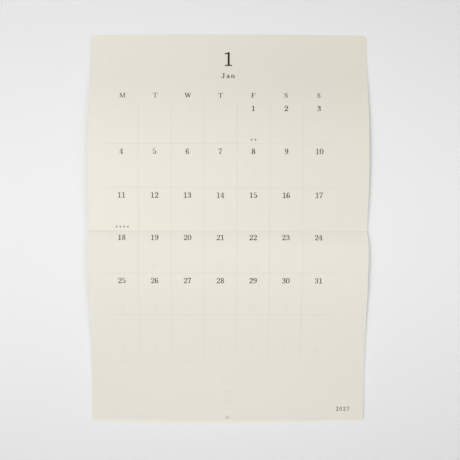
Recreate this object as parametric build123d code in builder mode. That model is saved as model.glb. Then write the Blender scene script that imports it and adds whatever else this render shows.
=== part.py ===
"""Booklet wall calendar, hung open at its first month.

The outer sheet hangs by a punched hole and lies against the wall at its head and its foot. The
inner sheets are nested in its fold, where two wire staples hold them, and hang closed in front
of its lower leaf. The paper bows off the wall on both sides of the fold.

Lengths are in millimetres. The origin is on the axis of the hanging hole, in the plane of the
wall, +Z is up and the printed front faces -Y.
"""

import os
from math import cos, degrees, pi, radians, sin

from build123d import *

# Sheets: landscape A4 when closed
page_width = 297.0
leaf_height = 210.0  # along the paper, from the fold to the edge
corner_radius = 4.5
paper_thickness = 0.12
inner_sheet_count = 6
leaf_clearance = 0.03  # between the outer sheet and the inner sheets

# Holes, punched through every leaf of the closed booklet
hole_diameter = 3.0
hole_margin = 5.0  # from the edge to the hole's centre

# Bow of the upper leaf, as lengths along the paper from the head down
head_flat = 10.0  # lies on the wall
upper_hollow_length = 38.0  # bends away from the wall
upper_crest_length = 100.0  # bends back until it is upright
upper_turn = 11.1  # degrees that the hollow and the crest each turn
fold_turn = 9.0  # degrees that the leaf leans towards the wall at the fold

# Bow of the lower leaves, as lengths along the middle of the stack from the fold down
spine_lean = 24.0  # degrees that the stack leans out from the fold
spine_bend_length = 23.0  # bends until the stack is upright
lower_crest_length = 52.0  # bends towards the wall
foot_flat = 13.0  # upright, where the outer sheet lies on the wall again

# Edges of the leaves at the foot
front_leaf_rise = 1.9  # of the front leaf above the outer sheet's edge
under_leaf_drop = 1.0  # of the other inner leaves below the outer sheet's edge, at mid-width
under_leaf_skew = 0.35  # degrees that the inner leaves hang out of square

# Staples, bent from flat wire
wire_width = 0.6
wire_thickness = 0.4
staple_crown = 12.0
staple_clinch = 4.5  # each bent end, inside the innermost fold
staple_bend_radius = 0.6  # at the middle of the wire
staple_spacing = 150.0
staple_tilt = 24.0  # degrees from the middle of the stack, which clears the upper leaf
stitch_clearance = 0.03  # around the wire, where it pierces the paper
crown_clearance = 0.08  # between the crown and the back of the fold

# Stack and nose of the fold
stack_thickness = 2 * inner_sheet_count * paper_thickness
nose_radius = stack_thickness / 2 + leaf_clearance  # of the outer sheet's front face

# Radii of the bows: the outer sheet's front face above the fold, the stack's middle below it
upper_hollow_radius = upper_hollow_length / radians(upper_turn)
upper_crest_radius = upper_crest_length / radians(upper_turn)
upper_fall_length = leaf_height - head_flat - upper_hollow_length - upper_crest_length
upper_fall_radius = upper_fall_length / radians(fold_turn)
spine_radius = spine_bend_length / radians(spine_lean)

# Heights from the fold, and distances in front of the wall
head_foot_rise = (upper_hollow_radius + upper_crest_radius) * sin(radians(upper_turn))
head_foot_rise += upper_fall_radius * sin(radians(fold_turn))
head_rise = head_foot_rise + head_flat
crest_standoff = (upper_hollow_radius + upper_crest_radius) * (1 - cos(radians(upper_turn)))
crest_standoff += paper_thickness
fold_standoff = crest_standoff - upper_fall_radius * (1 - cos(radians(fold_turn)))

# Lengths that the nose and the spine's bend take from the outer sheet's lower leaf
nose_wrap = nose_radius * pi / 2
spine_bend_behind = (spine_radius - nose_radius) * radians(spine_lean)
lower_bow_length = leaf_height - nose_wrap - spine_bend_behind - foot_flat
lower_hollow_length = lower_bow_length - lower_crest_length  # bends back until upright

# Centre of the nose, and the turn that brings the foot of the outer sheet back to the wall
nose_standoff = fold_standoff + nose_radius * sin(radians(spine_lean))
nose_rise = -nose_radius * cos(radians(spine_lean))
lower_crest_standoff = nose_standoff + spine_radius * (1 - cos(radians(spine_lean)))
lower_approach = lower_crest_standoff - nose_radius - paper_thickness
lower_turn = degrees(2 * lower_approach / lower_bow_length)
lower_crest_radius = lower_crest_length / radians(lower_turn)
lower_hollow_radius = lower_hollow_length / radians(lower_turn)

# Heights of the leaves' edges at the foot, from the fold
foot_flat_rise = nose_rise - spine_radius * sin(radians(spine_lean))
foot_flat_rise -= (lower_crest_radius + lower_hollow_radius) * sin(radians(lower_turn))
foot_rise = foot_flat_rise - foot_flat
front_leaf_foot = foot_rise + front_leaf_rise
under_leaf_foot = foot_rise - under_leaf_drop

# The profile is drawn in a plane across the width: x towards the wall, y up from the fold
fold_drop = head_rise - hole_margin  # from the hanging hole down to the fold
profile_plane = Plane(origin=(-page_width / 2, 0, -fold_drop), x_dir=(0, 1, 0), z_dir=(1, 0, 0))
down_spine = (-sin(radians(spine_lean)), -cos(radians(spine_lean)))
across_spine = (-cos(radians(spine_lean)), sin(radians(spine_lean)))


def upper_line(depth):
    """Draw the bow of the upper leaf from head to fold, depth behind its front face."""
    head = Line((depth - paper_thickness, head_rise), (depth - paper_thickness, head_foot_rise))
    hollow = JernArc(head @ 1, head % 1, upper_hollow_radius + depth, -upper_turn)
    crest = JernArc(hollow @ 1, hollow % 1, upper_crest_radius - depth, upper_turn)
    return head, JernArc(crest @ 1, crest % 1, upper_fall_radius - depth, fold_turn)


def lower_line(gap, foot):
    """Draw the bow of the lower leaves from fold to foot, gap in front of the stack's middle."""
    start_x = -nose_standoff + gap * across_spine[0]
    start_y = nose_rise + gap * across_spine[1]
    spine = JernArc((start_x, start_y), down_spine, spine_radius + gap, spine_lean)
    crest = JernArc(spine @ 1, spine % 1, lower_crest_radius + gap, lower_turn)
    hollow = JernArc(crest @ 1, crest % 1, lower_hollow_radius - gap, -lower_turn)
    return spine, Line(hollow @ 1, ((hollow @ 1).X, foot))


def nose_point(radius, turn):
    """Point at a radius from the nose's centre, turned from the nose's tip towards the wall."""
    angle = radians(spine_lean + turn)
    return (-nose_standoff + radius * sin(angle), nose_rise + radius * cos(angle))


def stitch(slack):
    """Sweep both staples: a crown behind the fold, two legs through it and two clinched ends."""
    crown_reach = nose_radius + paper_thickness + crown_clearance + wire_thickness / 2
    clinch_reach = -wire_thickness
    half_crown = staple_crown / 2
    tip = half_crown - staple_clinch - slack
    tilt = radians(spine_lean + staple_tilt)
    for middle in (-staple_spacing / 2, staple_spacing / 2):
        leg_plane = Plane(
            origin=(middle, -nose_standoff, nose_rise - fold_drop),
            x_dir=(1, 0, 0),
            z_dir=(0, -cos(tilt), sin(tilt)),
        )
        with BuildLine(leg_plane) as wire:
            FilletPolyline(
                (-tip, clinch_reach),
                (-half_crown, clinch_reach),
                (-half_crown, crown_reach),
                (half_crown, crown_reach),
                (half_crown, clinch_reach),
                (tip, clinch_reach),
                radius=staple_bend_radius,
            )
        across_wire = Plane(origin=wire.line @ 0, x_dir=leg_plane.z_dir, z_dir=wire.line % 0)
        with BuildSketch(across_wire) as section:
            Rectangle(wire_width + 2 * slack, wire_thickness + 2 * slack)
        sweep(section.sketch, path=wire.line)


# Two staples of flat wire
with BuildPart() as staples:
    stitch(0)

# The holes that the staples pierce
with BuildPart() as stitch_holes:
    stitch(stitch_clearance)

# Outer sheet: upper leaf, wrap round the nose and lower leaf in one piece
with BuildPart() as outer_sheet:
    with BuildSketch(profile_plane):
        with BuildLine():
            front_head, front_fall = upper_line(0)
            back_head, back_fall = upper_line(paper_thickness)
            Line(front_head @ 0, back_head @ 0)
            Line(front_fall @ 1, back_fall @ 1)
        make_face()
        with BuildLine():
            front_spine, front_foot = lower_line(-nose_radius, foot_rise)
            back_spine, back_foot = lower_line(-nose_radius - paper_thickness, foot_rise)
            for radius, spine in (
                (nose_radius, front_spine),
                (nose_radius + paper_thickness, back_spine),
            ):
                ThreePointArc(nose_point(radius, 0), nose_point(radius, 45), spine @ 0)
            Line(nose_point(nose_radius, 0), nose_point(nose_radius + paper_thickness, 0))
            Line(front_foot @ 1, back_foot @ 1)
        make_face()
    extrude(amount=page_width)
    fillet(outer_sheet.edges().filter_by(Axis.Y), radius=corner_radius)
    with BuildSketch(Plane.XZ):
        with Locations((0, 0), (0, foot_rise + hole_margin - fold_drop)):
            Circle(hole_diameter / 2)
    extrude(amount=page_width, both=True, mode=Mode.SUBTRACT)
    add(stitch_holes.part, mode=Mode.SUBTRACT)

# Inner sheets: the stack with its round nose, and the under leaves' edges below the front leaf
with BuildPart() as inner_sheets:
    with BuildSketch(profile_plane):
        with BuildLine():
            front_spine, front_foot = lower_line(stack_thickness / 2, front_leaf_foot)
            back_spine, back_foot = lower_line(-stack_thickness / 2, front_leaf_foot)
            ThreePointArc(front_spine @ 0, nose_point(stack_thickness / 2, 0), back_spine @ 0)
            Line(front_foot @ 1, back_foot @ 1)
        make_face()
    extrude(amount=page_width)
    fillet(inner_sheets.edges().filter_by(Axis.Y), radius=corner_radius)
    with BuildSketch(profile_plane):
        with Locations(tuple(back_foot @ 1)[:2]):
            Rectangle(
                stack_thickness - paper_thickness,
                2 * (front_leaf_rise + under_leaf_drop + corner_radius),
                align=(Align.MAX, Align.CENTER),
            )
    extrude(amount=page_width)
    skew = radians(under_leaf_skew)
    split(
        bisect_by=Plane(
            origin=(0, 0, under_leaf_foot - fold_drop), z_dir=(-sin(skew), 0, cos(skew))
        ),
        keep=Keep.TOP,
    )
    fillet(inner_sheets.edges().filter_by(Axis.Y).sort_by(Axis.Z)[:2], radius=corner_radius)
    with BuildSketch(Plane.XZ):
        with Locations((0, foot_rise + hole_margin - fold_drop)):
            Circle(hole_diameter / 2)
    extrude(amount=page_width, both=True, mode=Mode.SUBTRACT)
    add(stitch_holes.part, mode=Mode.SUBTRACT)

outer_sheet.part.label = "outer_sheet"
inner_sheets.part.label = "inner_sheets"
staples.part.label = "staples"

os.makedirs("parts", exist_ok=True)
export_step(outer_sheet.part, "parts/outer_sheet.step")
export_step(inner_sheets.part, "parts/inner_sheets.step")
export_step(staples.part, "parts/staples.step")
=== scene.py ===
"""Looks of a booklet wall calendar that hangs open at its first month.

Bent paper sheets, printed figures and rules, staples, and the wall that the booklet hangs on.
Lengths are in metres unless a name ends in _mm. The wall is the plane y = 0, +Z is up and the
printed front faces -Y. On the open page, x runs across and t up from the fold, along the paper.
"""

from calendar import monthrange
from math import cos, pi, radians, sin

import bmesh
import bpy
from bpy.props import FloatProperty, FloatVectorProperty, IntProperty, PointerProperty
from mathutils import Matrix, Vector


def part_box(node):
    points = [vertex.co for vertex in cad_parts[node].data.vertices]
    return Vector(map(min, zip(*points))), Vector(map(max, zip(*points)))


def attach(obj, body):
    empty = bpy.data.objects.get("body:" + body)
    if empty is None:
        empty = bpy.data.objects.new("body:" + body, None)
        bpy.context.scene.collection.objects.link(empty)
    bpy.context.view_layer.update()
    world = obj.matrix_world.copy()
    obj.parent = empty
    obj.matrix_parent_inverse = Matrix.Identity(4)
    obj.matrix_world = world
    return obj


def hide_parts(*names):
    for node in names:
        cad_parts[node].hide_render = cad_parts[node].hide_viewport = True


bl_info = {
    "name": "Booklet Wall Calendar",
    "version": (1, 0, 0),
    "blender": (4, 5, 0),
    "location": "View3D > Sidebar > Calendar",
    "description": "Bent paper, print and staples for a wall calendar",
    "category": "Object",
}

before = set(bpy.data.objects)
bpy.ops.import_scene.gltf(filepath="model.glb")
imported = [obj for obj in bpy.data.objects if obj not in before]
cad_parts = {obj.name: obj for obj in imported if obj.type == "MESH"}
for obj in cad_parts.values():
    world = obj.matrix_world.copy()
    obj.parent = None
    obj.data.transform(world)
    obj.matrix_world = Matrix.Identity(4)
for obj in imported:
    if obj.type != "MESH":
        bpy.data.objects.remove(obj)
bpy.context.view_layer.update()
SHEET_LOW, SHEET_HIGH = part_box("outer_sheet")
BODY = "root"
MM = 0.001
SNAP = 1e-6  # points closer than this are one

# The page
DAYS_IN_WEEK = 7
WEEKDAYS = "MTWTFSS"
MONTHS = ("Jan", "Feb", "Mar", "Apr", "May", "Jun", "Jul", "Aug", "Sep", "Oct", "Nov", "Dec")
UPPER_ROWS = 3  # weeks above the fold
LOWER_ROWS = 3
NOTES = ((4, 0, 2), (0, 2, 4))  # column, row and number of small dots
FIGURE_PITCH = 0.74  # from letter to letter, in heights of the type
LETTER_PITCH = 0.95
YEAR_PITCH = 0.92
WIDE_FIGURES = 1.12  # small type is drawn wider
WIDE_LETTERS = 1.3
NARROW_FIGURES = 0.98

# The paper's slow waves: turn over half the width or over a leaf's height, and start, in radians
WAVE_ACROSS = (2.3, 0.6)
WAVE_UP = (5.1, 0.4)

# Painted shade towards the upper right: its start and end along its axis, from the hanging hole
SHADED_WARM_RANGE = (20 * MM, 90 * MM)

# Sizes of the patterns in the paper, the ink and the wire
CLOUD_MM = 5.0
FELT_MM = 0.6  # finer than a pixel on such paper, and drawn coarser so that it shows close up
FIBRE_MM = 0.25
DRAW_MARK_MM = 0.08
DRAW_STRETCH = (0.08, 1.0, 1.0)  # the marks run along the wire

# How finely edges are rounded, and how far apart sheets are cut so that they bend smoothly
SMOOTH_ANGLE = radians(30)
CORNER_SEGMENTS = 6
HOLE_SEGMENTS = 32
STROKE_SEGMENTS = 6
CUT_ACROSS = 16 * MM
CUT_UPPER = 3 * MM
CUT_BEHIND = 4 * MM  # the closed sheets
CUT_BEND = 2 * MM
CUT_NOSE = 0.15 * MM
NESTED_CUT_NOSE = 0.25 * MM
NESTED_CUT_FOOT = 0.6 * MM
NESTED_CUTS_SEEN = (3 * MM, 1.3 * MM)  # along the leaf and along its bend
NESTED_CUTS_HIDDEN = (12 * MM, 3 * MM)
RULE_CUTS = (4 * MM, 1.5 * MM)  # across and up

# Nested sheets: each ends a little higher than the one before, and leaves some air
NEST_STEP = 0.05 * MM
NEST_SHARE = 0.97

# Films of print: how far they stand in front of the paper, and how thick they are
FIGURE_LIFT = 0.04 * MM
RULE_LIFT = 0.03 * MM
THROUGH_LIFT = 0.02 * MM
FILM = 0.02 * MM
THROUGH_FILM = 0.01 * MM
RULE_GAP = 0.25 * MM  # between the rules and the fold

# The stage
PAGE_MIDDLE = Vector((0, 0, -0.2))  # where the lamps aim
WALL_BEHIND = 0.4 * MM  # the part's own plane
WALL_HALF = 3.0
WALL_CUTS = 240
WALL_SWELL_REACH = 0.2
FLOOR_HALF = 6.0
ROOM_FILL = 0.135
ROOM_SEEN = 0.75  # how pale the room, the wall's foot and the floor look
WALL_FOOT_SEEN = 0.72
FLOOR_SEEN = 0.62
SENSOR_MM = 36
LAMPS = (  # name, place, width and height, power in watts
    ("key", (-0.97, -1.8, -0.2), (0.24, 0.24), 2.45),
    ("soft", (-0.48, -1.4, -0.2), (0.5, 0.24), 5.9),
    ("strip", (0.03, -0.72, -0.19), (1.6, 0.12), 4.87),
    ("back", (1.1, 2.0, 0.5), (0.8, 0.8), 50.0),
)


def size(name, description, default_mm):
    """A length property, given in millimetres."""
    return FloatProperty(
        name=name, description=description, default=default_mm * MM, unit="LENGTH", precision=5
    )


def angle(name, description, default_deg):
    """An angle property, given in degrees."""
    return FloatProperty(
        name=name, description=description, default=radians(default_deg), subtype="ANGLE"
    )


def linear(hex_colour):
    """Linear colour of an sRGB hex value."""
    parts = [int(hex_colour[i:i + 2], 16) / 255 for i in (1, 3, 5)]
    return [p / 12.92 if p <= 0.04045 else ((p + 0.055) / 1.055) ** 2.4 for p in parts]


def colour(name, description, hex_colour):
    """A colour property, given as an sRGB hex value."""
    default = linear(hex_colour)
    return FloatVectorProperty(
        name=name, description=description, default=default, subtype="COLOR", min=0, max=1
    )


class CalendarSheets(bpy.types.PropertyGroup):
    """Sizes of the sheets and of the bow in which they hang."""

    leaf_height: size("Leaf height", "Along the paper, from the fold to the edge", 210.0)
    paper_thickness: size("Paper", "Thickness of one sheet", 0.12)
    inner_sheets: IntProperty(
        name="Inner sheets", description="Sheets nested in the outer one", default=6
    )
    leaf_clearance: size("Leaf clearance", "Between the outer sheet and the inner ones", 0.12)
    corner_radius: size("Corner radius", "Of the outer sheet's rounded corners", 4.5)
    leaf_corner_radius: size("Leaf corner radius", "Of the inner sheets' corners at the foot", 2.6)
    hole_diameter: size("Hole", "Diameter of the punched holes", 3.0)
    hole_margin: size("Hole margin", "From a sheet's edge to a hole's centre", 5.0)
    head_flat: size("Head flat", "Length that lies on the wall at the head", 10.0)
    upper_hollow: size("Upper hollow", "Length that bends away from the wall", 38.0)
    upper_crest: size("Upper crest", "Length that bends back until upright", 100.0)
    upper_turn: angle("Upper turn", "Turn of the hollow and of the crest", 11.1)
    fold_turn: angle("Fold turn", "Lean towards the wall at the fold", 9.0)
    spine_lean: angle("Spine lean", "Lean of the closed sheets out from the fold", 24.0)
    spine_bend: size("Spine bend", "Length that bends until the closed sheets are upright", 23.0)
    lower_crest: size("Lower crest", "Length that bends towards the wall", 52.0)
    foot_flat: size("Foot flat", "Length that lies on the wall at the foot", 13.0)
    front_leaf_rise: size("Front leaf rise", "Of the front leaf above the outer sheet's edge", 1.9)
    under_leaf_drop: size("Under leaf drop", "Of the others' corners below the outer sheet's", 0.3)
    under_leaf_belly: size("Under leaf belly", "Further drop of those leaves at mid-width", 1.2)
    foot_flare: angle("Foot flare", "How far the under leaves' edges bend outwards", 20.0)
    front_leaf_lift: size("Front leaf lift", "Of the front leaf's edge off the leaves behind", 0.9)
    under_leaf_skew: angle("Under leaf skew", "How far out of square the inner leaves hang", 0.33)
    head_swell: size("Head swell", "How far the middle of the head stands off the wall", 0.4)
    head_bow: size("Head bow", "How far the middle of the head rises above its corners", 1.2)
    foot_swell: size("Foot swell", "How far the middle of the foot stands off the wall", 3.1)
    corner_curl: size("Corner curl", "How far the foot's right corner curls off the wall", 2.0)
    corner_tuck: size("Corner tuck", "How far that corner draws in as it curls", 1.2)
    corner_reach: size("Corner reach", "How far the curl runs along both edges", 42.0)
    hole_slip: size("Hole slip", "How far to the left the under leaves' holes have slipped", 1.9)
    fold_skew: size("Fold skew", "How far the fold's ends stand further out and further in", 1.5)
    fold_drop: size("Fold drop", "How far the fold lies below the open sheet's middle", 0.65)
    ripple: size("Ripple", "Height of the paper's slow waves", 0.18)
    paper_colour: colour("Paper", "Cream uncoated stock", "#e7e3d8")
    # Painted highlight: the under leaves' proud edges below the front leaf are painted lighter
    edge_colour: colour("Leaf edges", "The same stock where under leaves stand proud", "#ece8dc")
    # Painted light and shade: the outer sheet is lighter on its left, by the lamps, darker on its
    # right
    pale_colour: colour("Pale side", "The outer sheet's stock on its paler side", "#e9e5da")
    toned_colour: colour("Shaded side", "The outer sheet's stock on its other side", "#e4e0d5")
    # Painted shade: the outer sheet darker, and a little warmer, towards its upper right
    warm_colour: colour("Warm corner", "The outer sheet's stock towards its upper right", "#e6e0d4")
    warm_turn: angle("Warm turn", "Of the way to the warm corner, from level", 26.0)
    wire_colour: colour("Wire", "Galvanised staple wire", "#b9b8b2")


class CalendarPrint(bpy.types.PropertyGroup):
    """What is printed on the page, and where."""

    year: IntProperty(name="Year", description="Year of the page", default=2027)
    month: IntProperty(name="Month", description="Month of the page", default=1, min=1, max=12)
    column_pitch: size("Column pitch", "Width of a day's column", 34.8)
    row_pitch: size("Row pitch", "Height of a week's row", 45.95)
    grid_offset: size("Grid offset", "Of the grid's centre from the page's", -8.2)
    number_height: size("Number height", "Of a day's figures", 5.8)
    number_drop: size("Number drop", "From a row's upper rule to the middle of its figures", 8.0)
    number_across: size("Number across", "Of the figures' middle from their column's", -0.25)
    weekday_height: size("Weekday height", "Of the initials", 5.0)
    weekday_rise: size("Weekday rise", "Of the initials' middle above the fold", 144.2)
    month_height: size("Month height", "Of the month's capital", 5.4)
    month_rise: size("Month rise", "Of the month's middle above the fold", 166.1)
    head_height: size("Head figure height", "Of the large figure", 15.0)
    head_rise: size("Head figure rise", "Of the large figure's middle above the fold", 184.1)
    year_height: size("Year height", "Of the year's figures", 4.5)
    year_across: size("Year across", "Of the year's middle from the page's", 125.4)
    year_drop: size("Year drop", "Of the year's middle below the fold", 196.4)
    note_height: size("Note dot", "Diameter of the small dots beside a noted day", 2.1)
    note_pitch: size("Note pitch", "Between the small dots", 4.0)
    note_rise: size("Note rise", "Of the dots above the row's lower rule", 4.3)
    rule_width: size("Rule width", "Of the grid's fine rules", 0.48)
    ink_colour: colour("Ink", "Warm black", "#241e1b")
    note_colour: colour("Notes", "Mid grey", "#98948a")
    rule_colour: colour("Rules", "Pale grey", "#dad6ca")
    through_colour: colour("Show-through", "Paper over print on its back", "#e3dfd2")


class CalendarStage(bpy.types.PropertyGroup):
    """The wall, the light and the camera."""

    wall_colour: colour("Wall", "Pale neutral paint", "#eeeeee")
    wall_swell: size("Wall swell", "How far the plaster swells behind the booklet", 4.0)
    wall_gap: size("Wall gap", "How far light from behind reaches in front of the wall", 25.0)
    wall_lit: size("Wall lit", "How far below the hanging hole the wall is well lit", 500.0)
    floor_drop: size("Floor drop", "Of the floor below the hanging hole", 2000.0)
    camera_across: size("Camera across", "To the right of the hanging hole", 1.92)
    camera_distance: size("Camera distance", "In front of the wall", 475.3)
    camera_height: size("Camera height", "Above the hanging hole", -190.4)
    camera_pitch: angle("Camera pitch", "Down from level", 1.629)
    camera_yaw: angle("Camera yaw", "To the right", -0.012)
    camera_roll: angle("Camera roll", "Anticlockwise", 0.114)
    camera_lens_mm: FloatProperty(
        name="Lens", description="Focal length in millimetres", default=34.19
    )


def walk(runs, start, heading, length):
    """Go a length along straight and round runs. Gives the place (y, z) and the heading there.

    A heading is the lean from straight down, positive away from the wall.
    """
    place = Vector(start)
    left = length
    for run_length, turn in runs:
        step = min(left, run_length)
        bend = turn * step / run_length
        chord = step * (sin(bend / 2) / (bend / 2) if bend else 1)
        middle = heading + bend / 2
        place += chord * Vector((-sin(middle), -cos(middle)))
        heading += bend
        left -= step
    return place + left * Vector((-sin(heading), -cos(heading))), heading


def smooth_fall(share):
    """One at zero, smoothly down to nothing at one."""
    rest = min(max(1 - share, 0), 1)
    return rest * rest * (3 - 2 * rest)


class Bow:
    """The shape in which the sheets hang, seen from the side and with its slight unevenness."""

    def __init__(self, sheets):
        self.sheets = sheets
        self.half_width = (SHEET_HIGH.x - SHEET_LOW.x) / 2
        self.swell_reach = sheets.leaf_height / 3
        self.lift_reach = sheets.leaf_height / 5
        self.stack = 2 * sheets.inner_sheets * sheets.paper_thickness
        self.nose_radius = self.stack / 2 + sheets.leaf_clearance
        lean = sheets.spine_lean

        # Upper leaf, from the head's edge down to the fold, along its front face
        upper_fall = sheets.leaf_height - sheets.head_flat
        upper_fall -= sheets.upper_hollow + sheets.upper_crest
        self.upper_runs = (
            (sheets.head_flat, 0),
            (sheets.upper_hollow, sheets.upper_turn),
            (sheets.upper_crest, -sheets.upper_turn),
            (upper_fall, -sheets.fold_turn),
        )
        self.head = (-sheets.paper_thickness, SHEET_HIGH.z)
        self.fold, _ = walk(self.upper_runs, self.head, 0, sheets.leaf_height)
        self.nose = self.fold - self.nose_radius * Vector((sin(lean), cos(lean)))

        # Closed sheets, from the nose of the fold down to the foot, along the middle of the stack
        spine_radius = sheets.spine_bend / lean
        self.nose_wrap = self.nose_radius * pi / 2
        spine_behind = (spine_radius - self.nose_radius) * lean
        lower_bow = sheets.leaf_height - self.nose_wrap - spine_behind - sheets.foot_flat
        crest = -self.nose.x + spine_radius * (1 - cos(lean))
        lower_turn = 2 * (crest - self.nose_radius - sheets.paper_thickness) / lower_bow
        self.lower_runs = (
            (sheets.spine_bend, -lean),
            (sheets.lower_crest, -lower_turn),
            (lower_bow - sheets.lower_crest, lower_turn),
            (sheets.foot_flat, 0),
        )
        self.lower_length = sheets.spine_bend + lower_bow + sheets.foot_flat
        self.foot, _ = walk(self.lower_runs, self.nose, lean, self.lower_length)

    def upper(self, t, depth):
        """Place on the upper leaf, t above the fold and a depth behind its front face."""
        place, heading = walk(self.upper_runs, self.head, 0, self.sheets.leaf_height - t)
        return place + depth * Vector((cos(heading), -sin(heading)))

    def lower(self, length, gap):
        """Place on the closed sheets, a length below the nose, a gap in front of their middle."""
        sheets = self.sheets
        place, heading = walk(self.lower_runs, self.nose, sheets.spine_lean, length)
        beyond = max(length - self.lower_length + sheets.front_leaf_rise, 0)
        flare = sheets.foot_flare * beyond * beyond / (beyond + MM)
        return place + (gap + flare) * Vector((-cos(heading), sin(heading)))

    def round_nose(self, radius, turn):
        """Place at a radius from the nose's middle, turned from its tip towards the wall."""
        tip = self.sheets.spine_lean + turn
        return self.nose + radius * Vector((sin(tip), cos(tip)))

    def stand_off(self, x, z):
        """How far the paper stands out from its plain bow, at a place across and up the wall."""
        across = x / self.half_width
        swell = 1 - across * across
        sheets = self.sheets
        above_fold = z - self.fold.y
        out = sheets.head_swell * swell * smooth_fall((SHEET_HIGH.z - z) / self.swell_reach)
        out += sheets.foot_swell * swell * smooth_fall((z - self.foot.y) / self.swell_reach)
        fold_reach = self.swell_reach if above_fold > 0 else sheets.spine_bend
        out -= sheets.fold_skew * across * smooth_fall(abs(above_fold) / fold_reach)
        wave = sin(WAVE_ACROSS[0] * across + WAVE_ACROSS[1])
        wave *= sin(WAVE_UP[0] * above_fold / sheets.leaf_height + WAVE_UP[1])
        return out + sheets.ripple * (1 + wave)

    def curl(self, x, z):
        """Share of the curl of the foot's right corner, from none to one at its tip."""
        reach = self.sheets.corner_reach
        return smooth_fall((self.half_width - x) / reach) * smooth_fall((z - self.foot.y) / reach)

    def rise(self, x, z):
        """How far the paper lies above its plain place: a bow at the head, a drop at the fold."""
        sheets = self.sheets
        swell = 1 - (x / self.half_width) ** 2
        bow = sheets.head_bow * swell * smooth_fall((SHEET_HIGH.z - z) / self.swell_reach)
        return bow - sheets.fold_drop * max(1 - abs(z - self.fold.y) / sheets.leaf_height, 0)

    def place(self, x, profile_place):
        """Point in the frame for a place on the profile at x across."""
        y, z = profile_place
        curl = self.curl(x, z)
        out = self.stand_off(x, z) + self.sheets.corner_curl * curl
        return Vector((x - self.sheets.corner_tuck * curl, y - out, z + self.rise(x, z)))

    def outer_sheet(self, flat):
        """Bend a point of the outer sheet: x across, y up from the fold, z in front of its face."""
        x, t, front = flat
        if t >= 0:
            return self.place(x, self.upper(t, -front))
        if -t < self.nose_wrap:
            return self.place(x, self.round_nose(self.nose_radius - front, -t / self.nose_radius))
        share = (-t - self.nose_wrap) / (self.sheets.leaf_height - self.nose_wrap)
        return self.place(x, self.lower(share * self.lower_length, front - self.nose_radius))

    def nested_sheet(self, flat, radius):
        """Bend a point of an inner sheet whose face runs at a radius round the nose's middle."""
        x, t, front = flat
        wrap = radius * pi / 2
        if abs(t) < wrap:
            return self.place(x, self.round_nose(radius + front, t / radius))
        length = abs(t) - wrap
        gap = radius + front
        if t > 0:
            return self.place(x, self.lower(length, -gap))
        if radius == self.stack / 2:
            lift = smooth_fall((self.lower_length - length) / self.lift_reach)
            gap += self.sheets.front_leaf_lift * lift
        return self.place(x, self.lower(length, gap))

    def front_page(self, flat):
        """Bend a point of the open page: the upper leaf, or the front of the closed sheets."""
        x, t, front = flat
        if t >= 0:
            return self.place(x, self.upper(t, -front))
        return self.nested_sheet((x, t, front), self.stack / 2)


def node(tree, kind, inputs=None, **settings):
    """Add a shader node with its settings; an input is a value or another node's output."""
    made = tree.nodes.new("ShaderNode" + kind)
    for name, value in settings.items():
        setattr(made, name, value)
    for name, value in (inputs or {}).items():
        if isinstance(value, bpy.types.NodeSocket):
            tree.links.new(value, made.inputs[name])
        else:
            made.inputs[name].default_value = value
    return made


def new_material(name):
    """An empty node material, and its tree."""
    material = bpy.data.materials.new(name)
    material.use_nodes = True
    material.node_tree.nodes.clear()
    return material, material.node_tree


def per_metre(size_mm):
    """Texture scale that gives features of about this size."""
    return 1 / (size_mm * MM)


def uncoated_paper(name, base, *tones):
    """Cream uncoated book paper: matt, softly clouded, with a faint felt grain.

    Its colour goes slowly over to each tone's in turn, from start to end along the tone's axis,
    which is turned from X towards Z. The tones given are painted light and shade.
    """
    material, tree = new_material(name)
    place = node(tree, "TexCoord").outputs["Object"]
    stock = list(base) + [1]
    for tone_colour, turn, start, end in tones:
        turned = node(tree, "Mapping", {"Vector": place, "Rotation": (0, turn, 0)})
        along = node(tree, "SeparateXYZ", {"Vector": turned.outputs["Vector"]}).outputs["X"]
        share = node(tree, "MapRange", {"Value": along, "From Min": start, "From Max": end})
        mix = {"Factor": share.outputs["Result"], "A": stock, "B": list(tone_colour) + [1]}
        stock = node(tree, "Mix", mix, data_type="RGBA").outputs["Result"]
    clouds = {"Vector": place, "Scale": per_metre(CLOUD_MM), "Detail": 3.0, "Roughness": 0.6}
    cloud = node(tree, "TexNoise", clouds).outputs["Fac"]
    shade = node(tree, "MapRange", {"Value": cloud, "To Min": 0.98, "To Max": 1.02})
    mix = {"Factor": 1.0, "A": stock, "B": shade.outputs["Result"]}
    tone = node(tree, "Mix", mix, data_type="RGBA", blend_type="MULTIPLY").outputs["Result"]
    grain = {"Vector": place, "Scale": per_metre(FELT_MM), "Detail": 4.0, "Roughness": 0.7}
    felt = node(tree, "TexNoise", grain).outputs["Fac"]
    bump = node(tree, "Bump", {"Height": felt, "Strength": 0.12, "Distance": 0.05 * MM})
    look = {"Base Color": tone, "Roughness": 0.92, "Specular IOR Level": 0.2}
    look["Normal"] = bump.outputs["Normal"]
    surface = node(tree, "BsdfPrincipled", look).outputs["BSDF"]
    node(tree, "OutputMaterial", {"Surface": surface})
    return material


def printing_ink(name, base):
    """Offset ink on uncoated paper: matt, and uneven where the fibres take more or less of it."""
    material, tree = new_material(name)
    place = node(tree, "TexCoord").outputs["Object"]
    grain = {"Vector": place, "Scale": per_metre(FIBRE_MM), "Detail": 2.0}
    fibres = node(tree, "TexNoise", grain).outputs["Fac"]
    full = [c * 0.8 for c in base] + [1]
    thin = [min(c * 1.2, 1) for c in base] + [1]
    tone = node(tree, "Mix", {"Factor": fibres, "A": full, "B": thin}, data_type="RGBA")
    look = {"Base Color": tone.outputs["Result"], "Roughness": 0.8, "Specular IOR Level": 0.25}
    surface = node(tree, "BsdfPrincipled", look).outputs["BSDF"]
    node(tree, "OutputMaterial", {"Surface": surface})
    return material


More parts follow.
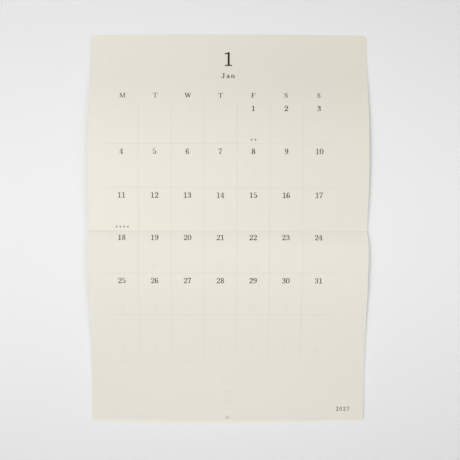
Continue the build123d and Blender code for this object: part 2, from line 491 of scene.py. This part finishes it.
def galvanised_wire(name, base):
    """Galvanised steel wire: a soft metal gloss, with fine draw marks along it."""
    material, tree = new_material(name)
    place = node(tree, "TexCoord").outputs["Object"]
    drawn = node(tree, "Mapping", {"Vector": place, "Scale": DRAW_STRETCH}).outputs["Vector"]
    grain = {"Vector": drawn, "Scale": per_metre(DRAW_MARK_MM), "Detail": 2.0}
    marks = node(tree, "TexNoise", grain).outputs["Fac"]
    rough = node(tree, "MapRange", {"Value": marks, "To Min": 0.28, "To Max": 0.5})
    bump = node(tree, "Bump", {"Height": marks, "Strength": 0.2, "Distance": 0.02 * MM})
    look = {"Base Color": list(base) + [1], "Metallic": 1.0, "Roughness": rough.outputs["Result"]}
    look["Normal"] = bump.outputs["Normal"]
    surface = node(tree, "BsdfPrincipled", look).outputs["BSDF"]
    node(tree, "OutputMaterial", {"Surface": surface})
    return material


def make_object(bm, name, material):
    """Turn a mesh under construction into an object at the origin."""
    mesh = bpy.data.meshes.new(name)
    bm.to_mesh(mesh)
    bm.free()
    mesh.materials.append(material)
    mesh.shade_smooth()
    made = bpy.data.objects.new(name, mesh)
    bpy.context.scene.collection.objects.link(made)
    return made


def finish_piece(bm, name, material):
    """Make a piece that rides on the part."""
    bmesh.ops.recalc_face_normals(bm, faces=bm.faces[:])
    piece = make_object(bm, name, material)
    piece.data.set_sharp_from_angle(angle=SMOOTH_ANGLE)
    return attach(piece, BODY)


def steps(low, high, pitch):
    """Even places between two ends, about a pitch apart, without the ends."""
    count = max(int(round((high - low) / pitch)), 1)
    return [low + (high - low) * i / count for i in range(1, count)]


def thicken(bm, thickness):
    """Give a flat mesh a thickness, away from the reader."""
    grown = bmesh.ops.extrude_face_region(bm, geom=bm.faces[:])["geom"]
    back = [part for part in grown if isinstance(part, bmesh.types.BMVert)]
    bmesh.ops.translate(bm, verts=back, vec=(0, 0, -thickness))


def flat_sheet(bow, low, high, corner_radius, holes, rows):
    """A flat sheet with rounded corners and punched holes, from low to high along its length.

    It is cut evenly along its length and across it at the rows, so that it bends smoothly.
    """
    bm = bmesh.new()
    bmesh.ops.create_grid(bm, x_segments=1, y_segments=1, size=1)
    for corner in bm.verts:
        corner.co.x *= bow.half_width
        corner.co.y = high if corner.co.y > 0 else low
    bmesh.ops.bevel(
        bm,
        geom=bm.verts[:],
        offset=corner_radius,
        offset_type="OFFSET",
        segments=CORNER_SEGMENTS,
        profile=0.5,
        affect="VERTICES",
        material=-1,
    )
    bmesh.ops.delete(bm, geom=bm.faces[:], context="FACES_ONLY")
    for hole in holes:
        bmesh.ops.create_circle(
            bm,
            segments=HOLE_SEGMENTS,
            radius=bow.sheets.hole_diameter / 2,
            matrix=Matrix.Translation((*hole, 0)),
        )
    bmesh.ops.triangle_fill(
        bm, use_beauty=True, use_dissolve=False, edges=bm.edges[:], normal=(0, 0, 1)
    )
    columns = steps(-bow.half_width, bow.half_width, CUT_ACROSS)
    for direction, places in ((Vector((1, 0, 0)), columns), (Vector((0, 1, 0)), rows)):
        for place in places:
            bmesh.ops.bisect_plane(
                bm,
                geom=bm.verts[:] + bm.edges[:] + bm.faces[:],
                dist=SNAP,
                plane_co=direction * place,
                plane_no=direction,
            )
    return bm


def bend(bm, shape):
    """Move every vertex of a flat mesh to its place on the hung sheets."""
    for vertex in bm.verts:
        vertex.co = shape(vertex.co)


# Lettering: strokes through points (x, y, width) in a letter one unit tall, on its baseline
HAIR = 0.078
STEM = 0.158
OVERLAP = 0.0006  # height of each further stroke of a letter over the one before


def stroke(*points):
    """An open stroke through points, with its width at each."""
    return points, False


def ring(x, y, half_width, half_height, side, cap=HAIR):
    """A closed oval stroke, heavy at its sides and fine at its ends."""
    top, bottom = (x, y + half_height, cap), (x, y - half_height, cap)
    return (top, (x + half_width, y, side), bottom, (x - half_width, y, side)), True


def dot(x, y, radius):
    """A round dot."""
    return ring(x, y, radius / 2, radius / 2, radius, radius)


def bar(x0, y0, x1, y1, width=HAIR):
    """A straight stroke of one width."""
    return ((x0, y0, width), (x1, y1, width)), False


def serif(x0, x1, y):
    """A fine flat serif."""
    return bar(x0, y, x1, y)


FOOT = HAIR / 2
CAP = 1 - HAIR / 2
SIX = (
    ring(0.0, 0.3, 0.2, 0.27, STEM),
    stroke(
        (0.19, 0.83, HAIR), (0.06, 0.97, HAIR), (-0.13, 0.86, 0.1), (-0.2, 0.6, STEM),
        (-0.2, 0.3, STEM),
    ),
    dot(0.17, 0.82, 0.075),
)


def half_turned(strokes):
    """The same strokes, turned upside down."""
    return tuple(
        (tuple((-x, 1 - y, width) for x, y, width in points), closed) for points, closed in strokes
    )


GLYPHS = {
    "0": (ring(0.0, 0.5, 0.225, CAP - 0.5, STEM * 1.05),),
    "1": (
        bar(0.02, 0.02, 0.02, 0.97, 0.145),
        stroke((0.02, 0.0, 0.27), (0.02, 0.05, 0.2), (0.02, 0.12, 0.145)),
        serif(-0.25, 0.26, FOOT),
        stroke((-0.26, 0.87, 0.085), (-0.12, 0.88, 0.085), (-0.01, 0.92, 0.09), (0.06, 0.98, 0.03)),
    ),
    "2": (
        dot(-0.17, 0.74, 0.085),
        stroke(
            (-0.215, 0.77, HAIR), (-0.12, 0.93, HAIR), (0.03, CAP, HAIR), (0.18, 0.88, 0.13),
            (0.215, 0.71, 0.18), (0.11, 0.47, 0.11), (-0.1, 0.24, 0.08), (-0.25, 0.05, HAIR),
        ),
        stroke(
            (-0.27, 0.03, 0.06), (-0.14, 0.085, 0.16), (0.08, 0.07, 0.16), (0.21, 0.08, 0.13),
            (0.275, 0.25, 0.05),
        ),
    ),
    "3": (
        dot(-0.16, 0.78, 0.08),
        stroke(
            (-0.2, 0.81, HAIR), (-0.02, CAP, HAIR), (0.17, 0.83, 0.13), (0.16, 0.66, 0.13),
            (-0.06, 0.53, HAIR),
        ),
        stroke(
            (-0.06, 0.53, HAIR), (0.15, 0.45, 0.11), (0.215, 0.26, STEM), (0.12, 0.08, 0.1),
            (-0.04, FOOT, HAIR), (-0.22, 0.17, HAIR),
        ),
        dot(-0.175, 0.2, 0.085),
    ),
    "4": (
        bar(0.1, 0.02, 0.1, 0.97, 0.14),
        bar(0.08, 0.97, -0.27, 0.3, 0.068),
        bar(-0.29, 0.28, 0.28, 0.28, 0.062),
        serif(-0.08, 0.28, FOOT),
    ),
    "5": (
        stroke((-0.18, 0.95, HAIR), (0.0, 0.92, 0.1), (0.2, 0.985, 0.04)),
        bar(-0.17, 0.97, -0.19, 0.5),
        stroke(
            (-0.19, 0.51, 0.05), (-0.03, 0.605, HAIR), (0.14, 0.54, 0.12), (0.215, 0.31, 0.175),
            (0.12, 0.09, 0.11), (-0.03, FOOT, HAIR), (-0.21, 0.15, HAIR),
        ),
        dot(-0.17, 0.19, 0.085),
    ),
    "6": SIX,
    "7": (
        stroke((-0.25, 0.9, 0.07), (-0.1, 0.93, 0.15), (0.08, 0.91, 0.14), (0.26, 0.96, 0.06)),
        bar(-0.255, 0.98, -0.265, 0.7, 0.06),
        stroke((0.25, 0.95, HAIR), (0.12, 0.68, 0.09), (0.0, 0.38, 0.14), (-0.05, 0.0, 0.19)),
    ),
    "8": (ring(0.0, 0.745, 0.165, 0.225, 0.14), ring(0.0, 0.27, 0.205, 0.24, 0.165)),
    "9": half_turned(SIX),
    "M": (
        bar(-0.34, 0.02, -0.34, 0.98, 0.07),
        bar(0.34, 0.02, 0.34, 0.98, 0.12),
        bar(-0.33, 0.98, 0.0, 0.03, 0.12),
        bar(0.32, 0.98, 0.01, 0.03, 0.07),
        serif(-0.46, -0.22, FOOT),
        serif(0.19, 0.49, FOOT),
        serif(-0.46, -0.3, CAP),
        serif(0.3, 0.49, CAP),
    ),
    "T": (
        bar(0.0, 0.02, 0.0, 0.98, 0.13),
        serif(-0.35, 0.35, CAP),
        bar(-0.34, 0.98, -0.36, 0.74, 0.05),
        bar(0.34, 0.98, 0.36, 0.74, 0.05),
        serif(-0.17, 0.17, FOOT),
    ),
    "W": (
        bar(-0.42, 0.98, -0.2, 0.02, 0.135),
        bar(-0.2, 0.02, 0.01, 0.96, 0.075),
        bar(0.0, 0.98, 0.21, 0.02, 0.135),
        bar(0.21, 0.02, 0.43, 0.98, 0.075),
        serif(-0.55, -0.28, CAP),
        serif(-0.12, 0.1, CAP),
        serif(0.3, 0.55, CAP),
    ),
    "F": (
        bar(-0.17, 0.02, -0.17, 0.98, 0.15),
        serif(-0.32, 0.3, CAP),
        bar(0.29, 0.98, 0.31, 0.72, 0.05),
        serif(-0.15, 0.13, 0.52),
        bar(0.13, 0.63, 0.13, 0.41, 0.05),
        serif(-0.33, 0.01, FOOT),
    ),
    "S": (
        stroke(
            (0.19, 0.78, 0.075), (0.08, 0.95, 0.075), (-0.1, 0.93, 0.085), (-0.19, 0.76, 0.13),
            (0.0, 0.53, 0.17), (0.195, 0.27, 0.14), (0.11, 0.06, 0.085), (-0.07, 0.04, 0.075),
            (-0.2, 0.22, 0.075),
        ),
        bar(0.21, 0.99, 0.19, 0.7, 0.05),
        bar(-0.22, 0.01, -0.2, 0.3, 0.05),
    ),
    "J": (
        stroke(
            (0.07, 0.98, STEM), (0.07, 0.6, STEM), (0.07, 0.24, STEM), (-0.02, 0.03, 0.09),
            (-0.2, 0.02, HAIR), (-0.27, 0.12, HAIR),
        ),
        dot(-0.22, 0.13, 0.085),
        serif(-0.1, 0.24, CAP),
    ),
    "a": (
        ring(-0.05, 0.19, 0.12, 0.16, 0.115),
        stroke(
            (-0.16, 0.53, HAIR), (-0.03, 0.66, HAIR), (0.1, 0.55, 0.125), (0.11, 0.3, 0.15),
            (0.12, 0.09, 0.13), (0.18, 0.02, HAIR), (0.26, 0.06, 0.05),
        ),
        dot(-0.14, 0.53, 0.065),
    ),
    "b": (
        bar(-0.17, 0.04, -0.17, 0.98, 0.13),
        ring(0.02, 0.32, 0.15, 0.29, 0.13),
        serif(-0.3, -0.17, CAP),
    ),
    "e": (
        stroke(
            (0.18, 0.36, 0.12), (0.12, 0.6, 0.09), (0.0, 0.65, HAIR), (-0.15, 0.5, 0.11),
            (-0.16, 0.22, 0.13), (0.0, 0.03, HAIR), (0.19, 0.16, 0.05),
        ),
        serif(-0.16, 0.2, 0.36),
    ),
    "n": (
        bar(-0.17, 0.02, -0.17, 0.62, 0.15),
        stroke(
            (-0.14, 0.47, HAIR), (0.02, 0.65, HAIR), (0.15, 0.5, 0.15), (0.16, 0.25, 0.15),
            (0.16, 0.02, 0.15),
        ),
        serif(-0.29, -0.05, FOOT),
        serif(0.05, 0.29, FOOT),
        serif(-0.29, -0.17, 0.62),
    ),
    ".": (dot(0.0, 0.5, 0.5),),
}


def glyph_mesh(character):
    """Flat mesh of one letter: each stroke is a curve whose edge is swept to the stroke's width."""
    curve = bpy.data.curves.new("glyph", "CURVE")
    curve.dimensions = "3D"
    curve.twist_mode = "Z_UP"
    curve.extrude = 0.5
    for layer, (points, closed) in enumerate(GLYPHS[character]):
        spline = curve.splines.new("BEZIER")
        spline.bezier_points.add(len(points) - 1)
        spline.use_cyclic_u = closed
        spline.resolution_u = STROKE_SEGMENTS
        for point, (x, y, width) in zip(spline.bezier_points, points):
            point.co = (x, y, layer * OVERLAP)
            point.radius = width
            point.tilt = pi / 2
            point.handle_left_type = point.handle_right_type = "AUTO"
    maker = bpy.data.objects.new("glyph", curve)
    bpy.context.scene.collection.objects.link(maker)
    drawn = maker.evaluated_get(bpy.context.evaluated_depsgraph_get())
    mesh = bpy.data.meshes.new_from_object(drawn)
    bpy.data.objects.remove(maker)
    bpy.data.curves.remove(curve)
    return mesh


class TypeSetter:
    """Sets letters and dots flat on the page, in one mesh, or flipped as on a leaf's back."""

    def __init__(self, flip=1):
        self.bm = bmesh.new()
        self.meshes = {}
        self.flip = flip

    def letter(self, character, x, middle, height, widen=1.0):
        """Set one letter with its middle at a height on the page, widened for small sizes."""
        if character not in self.meshes:
            self.meshes[character] = glyph_mesh(character)
        first = len(self.bm.verts)
        self.bm.from_mesh(self.meshes[character])
        self.bm.verts.ensure_lookup_table()
        for vertex in self.bm.verts[first:]:
            y = self.flip * (middle + (vertex.co.y - 0.5) * height)
            vertex.co = (x + vertex.co.x * height * widen, y, vertex.co.z * height)

    def line(self, text, x, middle, height, pitch, widen=1.0):
        """Set a line of letters, centred at x, a pitch in heights apart."""
        start = x - (len(text) - 1) / 2 * pitch * height
        for index, character in enumerate(text):
            self.letter(character, start + index * pitch * height, middle, height, widen)


def print_piece(bm, bow, name, material, lift=FIGURE_LIFT, thickness=FILM):
    """Make flat print a piece: a thin film just in front of the bent page."""
    bmesh.ops.remove_doubles(bm, verts=bm.verts[:], dist=SNAP)
    bmesh.ops.translate(bm, verts=bm.verts[:], vec=(0, 0, lift))
    thicken(bm, thickness)
    bend(bm, bow.front_page)
    return finish_piece(bm, name, material)


def column_middle(page, column):
    """Where the type of a day's column is centred."""
    return page.grid_offset + page.number_across + (column - DAYS_IN_WEEK // 2) * page.column_pitch


def set_head(setter, page, month):
    """The large figure, the month's name and the initials of the days."""
    x, name = page.number_across, MONTHS[month - 1]
    setter.line(str(month), x, page.head_rise, page.head_height, FIGURE_PITCH)
    setter.line(name, 2 * x, page.month_rise, page.month_height, LETTER_PITCH, WIDE_LETTERS)
    for column, initial in enumerate(WEEKDAYS):
        x = column_middle(page, column)
        setter.letter(initial, x, page.weekday_rise, page.weekday_height, WIDE_LETTERS)


def set_days(setter, page, month, rows):
    """The figures of the days that fall in some rows of the grid."""
    first, days = monthrange(page.year, month)
    for day in range(1, days + 1):
        row, column = divmod(first + day - 1, DAYS_IN_WEEK)
        if row in rows:
            x = column_middle(page, column)
            middle = (UPPER_ROWS - row) * page.row_pitch - page.number_drop
            setter.line(str(day), x, middle, page.number_height, FIGURE_PITCH, WIDE_FIGURES)


class CALENDAR_OT_outer_sheet(bpy.types.Operator):
    """Make the outer sheet: its upper leaf, its fold and the leaf behind the closed sheets"""

    bl_idname = "calendar.outer_sheet"
    bl_label = "Outer Sheet"

    def execute(self, context):
        sheets = context.scene.calendar_sheets
        bow = Bow(sheets)
        leaf, wrap = sheets.leaf_height, bow.nose_wrap
        bend_end = wrap + sheets.spine_bend
        rows = steps(-leaf, -bend_end, CUT_BEHIND) + steps(-bend_end, -wrap, CUT_BEND)
        rows += [-bend_end, -wrap, 0.0] + steps(-wrap, 0, CUT_NOSE) + steps(0, leaf, CUT_UPPER)
        hole = leaf - sheets.hole_margin
        bm = flat_sheet(bow, -leaf, leaf, sheets.corner_radius, ((0, -hole), (0, hole)), rows)
        thicken(bm, sheets.paper_thickness)
        bend(bm, bow.outer_sheet)
        # Painted light and shade: lighter on the left, darker on the right and towards the upper
        # right
        material = uncoated_paper(
            "uncoated_paper_outer",
            sheets.pale_colour,
            (sheets.toned_colour, 0, SHEET_LOW.x, SHEET_HIGH.x / 2),
            # Painted shade, darker and warmer towards the upper right
            (sheets.warm_colour, sheets.warm_turn, *SHADED_WARM_RANGE),
        )
        piece = finish_piece(bm, "outer_sheet_paper", material)
        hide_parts("outer_sheet")
        return {"FINISHED"}


class CALENDAR_OT_inner_sheets(bpy.types.Operator):
    """Make the closed sheets: nested in the fold, each with its own edges at the foot"""

    bl_idname = "calendar.inner_sheets"
    bl_label = "Inner Sheets"

    def execute(self, context):
        sheets = context.scene.calendar_sheets
        bow = Bow(sheets)
        stack = bmesh.new()
        for number in range(sheets.inner_sheets):
            seen = number == 0
            radius = bow.stack / 2 - number * sheets.paper_thickness
            wrap = radius * pi / 2
            foot = wrap + bow.lower_length
            below = sheets.under_leaf_drop - NEST_STEP * number
            front_foot = -foot + (sheets.front_leaf_rise if seen else -below)
            back_foot = foot + below
            hole = foot - sheets.hole_margin
            holes = ((0 if seen else -sheets.hole_slip, -hole), (-sheets.hole_slip, hole))
            rows = self.rows(bow, front_foot, back_foot, wrap, seen)
            bm = flat_sheet(bow, front_foot, back_foot, sheets.leaf_corner_radius, holes, rows)
            self.shape_foot(bm, bow, seen)
            thicken(bm, sheets.paper_thickness * NEST_SHARE)
            bend(bm, lambda flat, r=radius: bow.nested_sheet(flat, r))
            mesh = bpy.data.meshes.new("nested_sheet")
            bm.to_mesh(mesh)
            bm.free()
            stack.from_mesh(mesh)
            bpy.data.meshes.remove(mesh)
        front_edge = bow.foot.y + sheets.front_leaf_rise
        # Painted highlight: lighter stock on the under leaves below the front leaf's edge
        material = uncoated_paper(
            "uncoated_paper_inner",
            sheets.paper_colour,
            (sheets.edge_colour, pi / 2, front_edge, front_edge - sheets.front_leaf_rise / 2),
        )
        piece = finish_piece(stack, "inner_sheets_paper", material)
        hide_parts("inner_sheets")
        return {"FINISHED"}

    @staticmethod
    def shape_foot(bm, bow, front_square):
        """Let the edges at the foot hang out of square, longer on the left and at mid-width."""
        sheets = bow.sheets
        for vertex in bm.verts:
            x, t, _ = vertex.co
            if abs(t) < bow.lower_length - sheets.corner_radius or front_square and t < 0:
                continue
            share = (abs(t) - bow.lower_length + sheets.corner_radius) / sheets.corner_radius
            drop = sheets.under_leaf_belly * (1 - (x / bow.half_width) ** 2)
            drop -= sheets.under_leaf_skew * x
            vertex.co.y += min(share, 1) * (drop if t > 0 else -drop)

    @staticmethod
    def rows(bow, front_foot, back_foot, wrap, seen):
        """Where a nested sheet is cut across so that it bends smoothly."""
        sheets = bow.sheets
        bend_end = wrap + sheets.spine_bend
        flare_start = wrap + bow.lower_length - sheets.front_leaf_rise
        front_leaf, front_bend = NESTED_CUTS_SEEN if seen else NESTED_CUTS_HIDDEN
        back_leaf, back_bend = NESTED_CUTS_HIDDEN
        rows = [-bend_end, -wrap, wrap, bend_end] + steps(-wrap, wrap, NESTED_CUT_NOSE)
        rows += steps(front_foot, -bend_end, front_leaf) + steps(-bend_end, -wrap, front_bend)
        rows += steps(wrap, bend_end, back_bend) + steps(bend_end, flare_start, back_leaf)
        rows += [flare_start] + steps(flare_start, back_foot, NESTED_CUT_FOOT)
        if not seen:
            rows += [-flare_start] + steps(front_foot, -flare_start, NESTED_CUT_FOOT)
        return rows


class CALENDAR_OT_print(bpy.types.Operator):
    """Print the month's figures, initials and rules on the open page"""

    bl_idname = "calendar.print"
    bl_label = "Print"

    def execute(self, context):
        page = context.scene.calendar_print
        bow = Bow(context.scene.calendar_sheets)
        ink = printing_ink("offset_ink_black", page.ink_colour)
        grey = printing_ink("offset_ink_grey", page.note_colour)
        pale = printing_ink("offset_ink_pale_grey", page.rule_colour)
        upper, lower, notes = TypeSetter(), TypeSetter(), TypeSetter()
        set_head(upper, page, page.month)
        set_days(upper, page, page.month, range(UPPER_ROWS))
        set_days(lower, page, page.month, range(UPPER_ROWS, UPPER_ROWS + LOWER_ROWS))
        year, height = str(page.year), page.year_height
        lower.line(year, page.year_across, -page.year_drop, height, YEAR_PITCH, NARROW_FIGURES)
        note_pitch = page.note_pitch / page.note_height
        for column, row, dots in NOTES:
            x = column_middle(page, column)
            middle = (UPPER_ROWS - row - 1) * page.row_pitch + page.note_rise
            notes.line("." * dots, x, middle, page.note_height, note_pitch)
        print_piece(upper.bm, bow, "figures_upper", ink)
        print_piece(lower.bm, bow, "figures_lower", ink)
        print_piece(notes.bm, bow, "day_notes", grey)
        for name, side in (("rules_upper", 1), ("rules_lower", -1)):
            print_piece(self.rules(page, side), bow, name, pale, RULE_LIFT)
        return {"FINISHED"}

    @staticmethod
    def rules(page, side):
        """The grid's fine rules above or below the fold, flat."""
        bm = bmesh.new()
        reach = UPPER_ROWS * page.row_pitch
        grid_width = DAYS_IN_WEEK * page.column_pitch
        strips = []
        for column in range(DAYS_IN_WEEK - 1):
            x = page.grid_offset + (column - (DAYS_IN_WEEK - 2) / 2) * page.column_pitch
            strips.append((x, side * (reach + RULE_GAP) / 2, page.rule_width, reach - RULE_GAP))
        for row in range(1, UPPER_ROWS):
            t = side * row * page.row_pitch
            strips.append((page.grid_offset, t, grid_width, page.rule_width))
        for x, t, width, height in strips:
            place = Matrix.Translation((x, t, 0)) @ Matrix.Diagonal((width / 2, height / 2, 1, 1))
            bmesh.ops.create_grid(
                bm,
                x_segments=max(int(width / RULE_CUTS[0]), 1),
                y_segments=max(int(height / RULE_CUTS[1]), 1),
                size=1,
                matrix=place,
            )
        return bm


class CALENDAR_OT_show_through(bpy.types.Operator):
    """Make the next month's print, seen faintly through the front leaf and upside down"""

    bl_idname = "calendar.show_through"
    bl_label = "Show-Through"

    def execute(self, context):
        page = context.scene.calendar_print
        bow = Bow(context.scene.calendar_sheets)
        setter = TypeSetter(flip=-1)
        month = page.month % len(MONTHS) + 1
        set_head(setter, page, month)
        set_days(setter, page, month, range(UPPER_ROWS))
        material = uncoated_paper("uncoated_paper_over_print", page.through_colour)
        piece = print_piece(setter.bm, bow, "show_through", material, THROUGH_LIFT, THROUGH_FILM)
        return {"FINISHED"}


class CALENDAR_OT_staples(bpy.types.Operator):
    """Make the staples, set in the fold as it hangs"""

    bl_idname = "calendar.staples"
    bl_label = "Staples"

    def execute(self, context):
        sheets = context.scene.calendar_sheets
        bow = Bow(sheets)
        bm = bmesh.new()
        bm.from_mesh(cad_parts["staples"].data)
        bmesh.ops.remove_doubles(bm, verts=bm.verts[:], dist=SNAP)
        for vertex in bm.verts:
            vertex.co.y -= bow.stand_off(vertex.co.x, bow.fold.y)
            vertex.co.z += bow.rise(vertex.co.x, bow.fold.y)
        material = galvanised_wire("galvanised_wire", sheets.wire_colour)
        piece = finish_piece(bm, "staple_wires", material)
        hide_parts("staples")
        return {"FINISHED"}


class CALENDAR_OT_stage(bpy.types.Operator):
    """Set the wall, the floor, the light and the camera"""

    bl_idname = "calendar.stage"
    bl_label = "Stage"

    def execute(self, context):
        stage = context.scene.calendar_stage
        self.wall(stage)
        self.floor(stage)
        self.lights(context)
        self.camera(context, stage)
        return {"FINISHED"}

    @staticmethod
    def wall(stage):
        """A wall just behind the booklet, clear from behind so that the back can be looked at."""
        bm = bmesh.new()
        middle = Matrix.Translation((0, WALL_BEHIND, PAGE_MIDDLE.z))
        bmesh.ops.create_grid(
            bm,
            x_segments=1,
            y_segments=WALL_CUTS,
            size=WALL_HALF,
            matrix=middle @ Matrix.Rotation(pi / 2, 4, "X"),
        )
        for vertex in bm.verts:
            share = abs(vertex.co.z - PAGE_MIDDLE.z) / WALL_SWELL_REACH
            vertex.co.y -= stage.wall_swell * smooth_fall(share)
        # Matt emulsion paint: it scatters light evenly, with next to no gloss
        material, tree = new_material("wall_paint")
        look = {"Base Color": list(stage.wall_colour) + [1], "Roughness": 0.95}
        look["Specular IOR Level"] = 0.1
        paint = node(tree, "BsdfPrincipled", look).outputs["BSDF"]
        # Light from behind reaches the booklet's back through the narrow gap, and goes no further
        behind = node(tree, "NewGeometry").outputs["Backfacing"]
        path = node(tree, "LightPath").outputs
        looked_at, bounces = path["Is Camera Ray"], path["Diffuse Depth"]
        reach = {0: path["Ray Length"], 1: stage.wall_gap}
        near = node(tree, "Math", reach, operation="LESS_THAN").outputs["Value"]
        onward = node(tree, "Math", {0: looked_at, 1: bounces}, operation="ADD").outputs["Value"]
        inside = node(tree, "Math", {0: near, 1: onward}, operation="GREATER_THAN").outputs["Value"]
        clear = node(tree, "Math", {0: behind, 1: inside}, operation="MAXIMUM").outputs["Value"]
        through = node(tree, "BsdfTransparent").outputs["BSDF"]
        # The lamps hardly reach the wall's foot, which is shown as pale as the room is
        place = node(tree, "TexCoord").outputs["Object"]
        up = node(tree, "SeparateXYZ", {"Vector": place}).outputs["Z"]
        fade = {"Value": up, "From Min": -stage.wall_lit, "From Max": -2 * stage.wall_lit}
        fade["To Max"] = looked_at
        low = node(tree, "MapRange", fade).outputs["Result"]
        pale = node(tree, "Emission", {"Strength": WALL_FOOT_SEEN}).outputs["Emission"]
        seen = node(tree, "MixShader", {0: low, 1: paint, 2: pale}).outputs["Shader"]
        surface = node(tree, "MixShader", {0: clear, 1: seen, 2: through}).outputs["Shader"]
        node(tree, "OutputMaterial", {"Surface": surface})
        wall = make_object(bm, "wall", material)

    @staticmethod
    def floor(stage):
        """A plain pale floor well below the booklet."""
        bm = bmesh.new()
        low = Matrix.Translation((0, 0, -stage.floor_drop))
        bmesh.ops.create_grid(bm, x_segments=1, y_segments=1, size=FLOOR_HALF, matrix=low)
        # Matt floor paint, a little smoother than the wall's
        material, tree = new_material("floor_paint")
        look = {"Base Color": list(stage.wall_colour) + [1], "Roughness": 0.9}
        look["Specular IOR Level"] = 0.1
        paint = node(tree, "BsdfPrincipled", look).outputs["BSDF"]
        # The lamps hardly reach so far down, so the floor is shown as pale as the room is
        pale = node(tree, "Emission", {"Strength": FLOOR_SEEN}).outputs["Emission"]
        looked_at = node(tree, "LightPath").outputs["Is Camera Ray"]
        surface = node(tree, "MixShader", {0: looked_at, 1: paint, 2: pale}).outputs["Shader"]
        node(tree, "OutputMaterial", {"Surface": surface})
        floor = make_object(bm, "floor", material)

    @staticmethod
    def lights(context):
        """Two lamps from the left, a strip from the front, one from behind and a fill all round."""
        world = bpy.data.worlds.new("room")
        world.use_nodes = True
        tree = world.node_tree
        tree.nodes.clear()
        looked_at = node(tree, "LightPath").outputs["Is Camera Ray"]
        fill, pale = (
            node(tree, "Background", {"Color": (1, 1, 1, 1), "Strength": strength}).outputs[0]
            for strength in (ROOM_FILL, ROOM_SEEN)
        )
        room = node(tree, "MixShader", {0: looked_at, 1: fill, 2: pale}).outputs["Shader"]
        node(tree, "OutputWorld", {"Surface": room})
        context.scene.world = world
        for name, place, extent, power in LAMPS:
            data = bpy.data.lights.new(name, "AREA")
            data.shape = "RECTANGLE"
            data.size, data.size_y = extent
            data.energy = power
            lamp = bpy.data.objects.new(name, data)
            aim = (PAGE_MIDDLE - Vector(place)).to_track_quat("-Z", "Z")
            lamp.matrix_world = Matrix.Translation(place) @ aim.to_matrix().to_4x4()
            lamp.visible_camera = False
            context.scene.collection.objects.link(lamp)
        context.scene.view_settings.view_transform = "Standard"

    @staticmethod
    def camera(context, stage):
        """The camera, square on to the page and a little above its middle."""
        data = bpy.data.cameras.new("camera")
        data.lens = stage.camera_lens_mm
        data.sensor_width = SENSOR_MM
        camera = bpy.data.objects.new("camera", data)
        turn = Matrix.Rotation(-stage.camera_yaw, 4, "Z")
        turn @= Matrix.Rotation(pi / 2 - stage.camera_pitch, 4, "X")
        turn @= Matrix.Rotation(stage.camera_roll, 4, "Z")
        place = (stage.camera_across, -stage.camera_distance, stage.camera_height)
        camera.matrix_world = Matrix.Translation(place) @ turn
        context.scene.collection.objects.link(camera)
        context.scene.camera = camera


OPERATORS = (
    CALENDAR_OT_outer_sheet,
    CALENDAR_OT_inner_sheets,
    CALENDAR_OT_print,
    CALENDAR_OT_show_through,
    CALENDAR_OT_staples,
    CALENDAR_OT_stage,
)


class CALENDAR_PT_sidebar(bpy.types.Panel):
    """Buttons for each piece of the calendar"""

    bl_idname = "CALENDAR_PT_sidebar"
    bl_label = "Wall Calendar"
    bl_space_type = "VIEW_3D"
    bl_region_type = "UI"
    bl_category = "Calendar"

    def draw(self, context):
        for operator in OPERATORS:
            self.layout.operator(operator.bl_idname)


GROUPS = (CalendarSheets, CalendarPrint, CalendarStage)
CLASSES = GROUPS + OPERATORS + (CALENDAR_PT_sidebar,)


def register():
    """Register the classes and hang their settings on the scene."""
    for kind in CLASSES:
        bpy.utils.register_class(kind)
    bpy.types.Scene.calendar_sheets = PointerProperty(type=CalendarSheets)
    bpy.types.Scene.calendar_print = PointerProperty(type=CalendarPrint)
    bpy.types.Scene.calendar_stage = PointerProperty(type=CalendarStage)


def unregister():
    """Take the settings and the classes away again."""
    del bpy.types.Scene.calendar_stage
    del bpy.types.Scene.calendar_print
    del bpy.types.Scene.calendar_sheets
    for kind in reversed(CLASSES):
        bpy.utils.unregister_class(kind)


def main():
    """Make every piece and the stage."""
    register()
    bpy.ops.calendar.outer_sheet()
    bpy.ops.calendar.inner_sheets()
    bpy.ops.calendar.print()
    bpy.ops.calendar.show_through()
    bpy.ops.calendar.staples()
    bpy.ops.calendar.stage()


if __name__ == "__main__":
    main()
